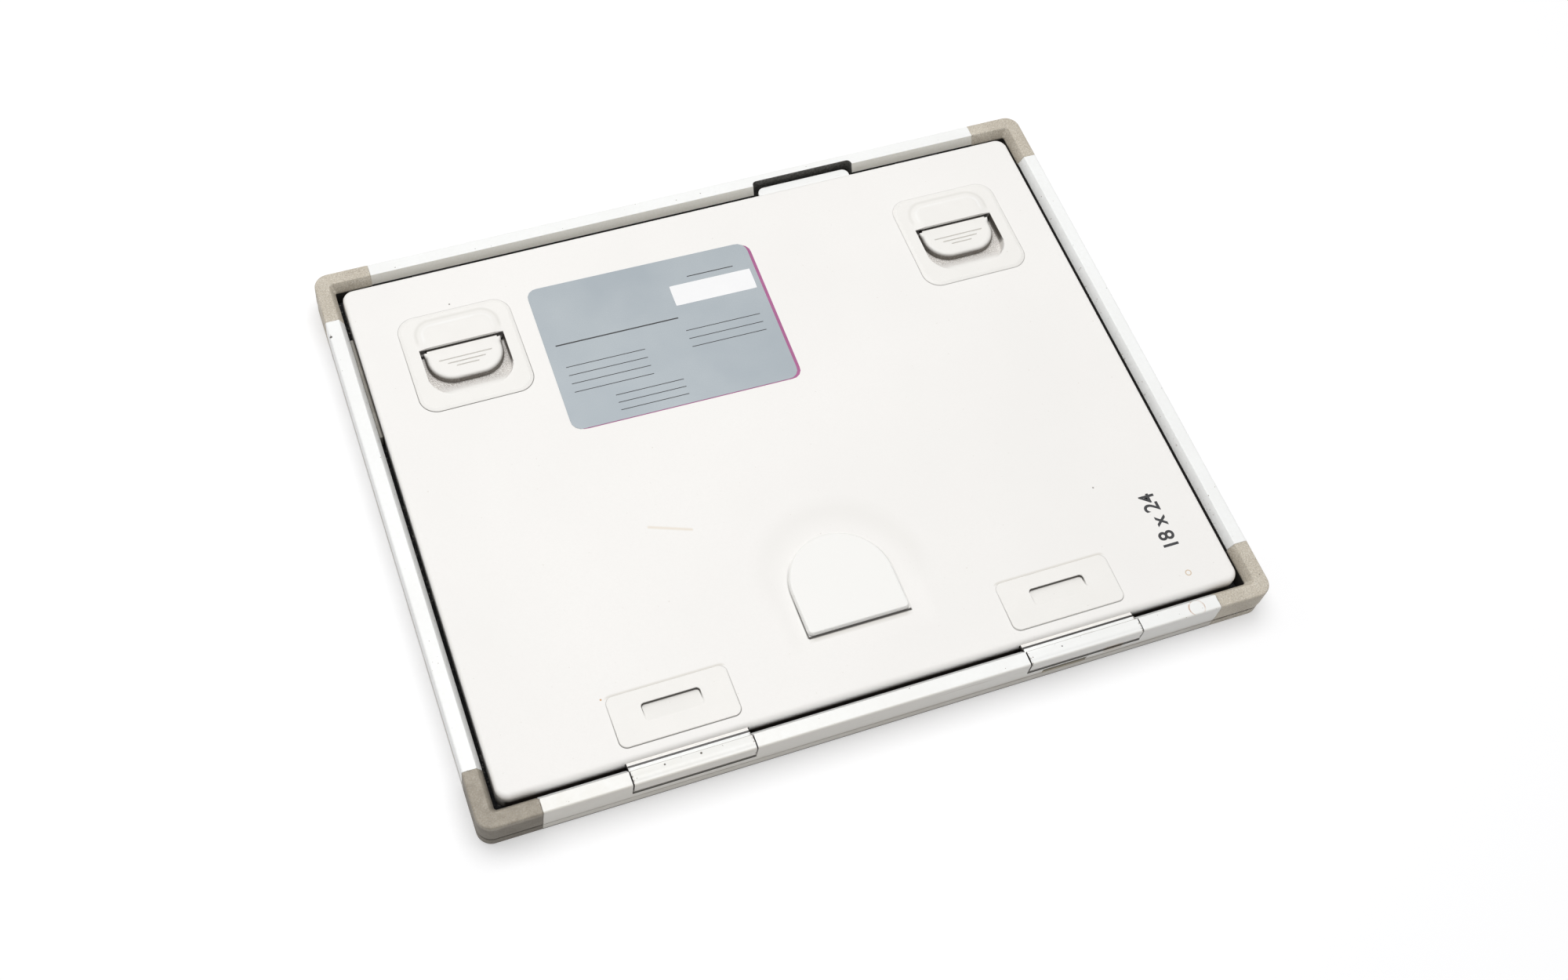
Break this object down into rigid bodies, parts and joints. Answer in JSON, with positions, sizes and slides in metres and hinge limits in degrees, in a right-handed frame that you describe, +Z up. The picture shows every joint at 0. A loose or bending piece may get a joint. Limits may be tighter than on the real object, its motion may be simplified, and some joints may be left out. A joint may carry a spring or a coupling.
{
  "type": "x_ray_film_cassette",
  "caption": "Flat x-ray film cassette for 18 x 24 cm film: white metal frame with plastic corner pieces, hinged lid and two sliding latches",
  "frame": {"origin": "middle of the cassette's length and width, on the plane it lies on", "axes": "+X along the long side, +Y from the hinge side to the latch side, +Z up through the lid"},
  "size_m": [0.267, 0.207, 0.0142],
  "materials": {
    "white_paint": "satin",
    "corner_plastic": "matte",
    "panel_plastic": "satin",
    "screen_coating": "satin",
    "lead": "matte",
    "marker_plastic": "matte",
    "black_felt": "matte",
    "grey_foam": "matte",
    "bright_steel": "satin",
    "bare_aluminium": "satin",
    "fitting_plastic": "satin"
  },
  "bodies": {
    "base": {"corner_front_left": "corner_plastic", "corner_front_right": "corner_plastic", "corner_rear_left": "corner_plastic", "corner_rear_right": "corner_plastic", "front_panel": "panel_plastic", "front_rail": "white_paint", "front_screen": "screen_coating", "hinge_pin_left": "bright_steel", "hinge_pin_right": "bright_steel", "id_blocker": "lead", "keeper_left": "bright_steel", "keeper_right": "bright_steel", "left_rail": "white_paint", "light_seal_front": "black_felt", "light_seal_left": "black_felt", "light_seal_rear": "black_felt", "light_seal_right": "black_felt", "rear_rail": "white_paint", "right_rail": "white_paint", "screen_marker": "marker_plastic"},
    "lid": {"foam_pad": "grey_foam", "hinge_leaf_left": "white_paint", "hinge_leaf_right": "white_paint", "hinge_pad_left": "fitting_plastic", "hinge_pad_right": "fitting_plastic", "hinge_screw_left_1": "bright_steel", "hinge_screw_left_2": "bright_steel", "hinge_screw_right_1": "bright_steel", "hinge_screw_right_2": "bright_steel", "latch_bezel_left": "fitting_plastic", "latch_bezel_right": "fitting_plastic", "latch_guide_left": "bright_steel", "latch_guide_right": "bright_steel", "lead_foil": "lead", "lid_cover": "white_paint", "lid_inner_plate": "bare_aluminium", "lid_tab": "white_paint", "plate_screw_1": "bright_steel", "plate_screw_2": "bright_steel", "plate_screw_3": "bright_steel", "plate_screw_4": "bright_steel", "plate_screw_5": "bright_steel", "plate_screw_6": "bright_steel", "pressure_spring": "bright_steel", "rear_screen": "screen_coating", "spring_cap": "fitting_plastic"},
    "latch_left": {"thumb_piece_left": "fitting_plastic", "latch_bolt_left": "bright_steel"},
    "latch_right": {"thumb_piece_right": "fitting_plastic", "latch_bolt_right": "bright_steel"}
  },
  "joints": [
    {"name": "lid_hinge", "type": "hinge", "parent": "base", "child": "lid", "pos_m": [0, -0.1013, 0.0112], "axis": [1, 0, 0], "range_deg": [0, 110]},
    {"name": "latch_left_slide", "type": "slide", "parent": "lid", "child": "latch_left", "axis": [0, 1, 0], "range_m": [0, 0.005]},
    {"name": "latch_right_slide", "type": "slide", "parent": "lid", "child": "latch_right", "axis": [0, 1, 0], "range_m": [0, 0.005]}
  ]
}
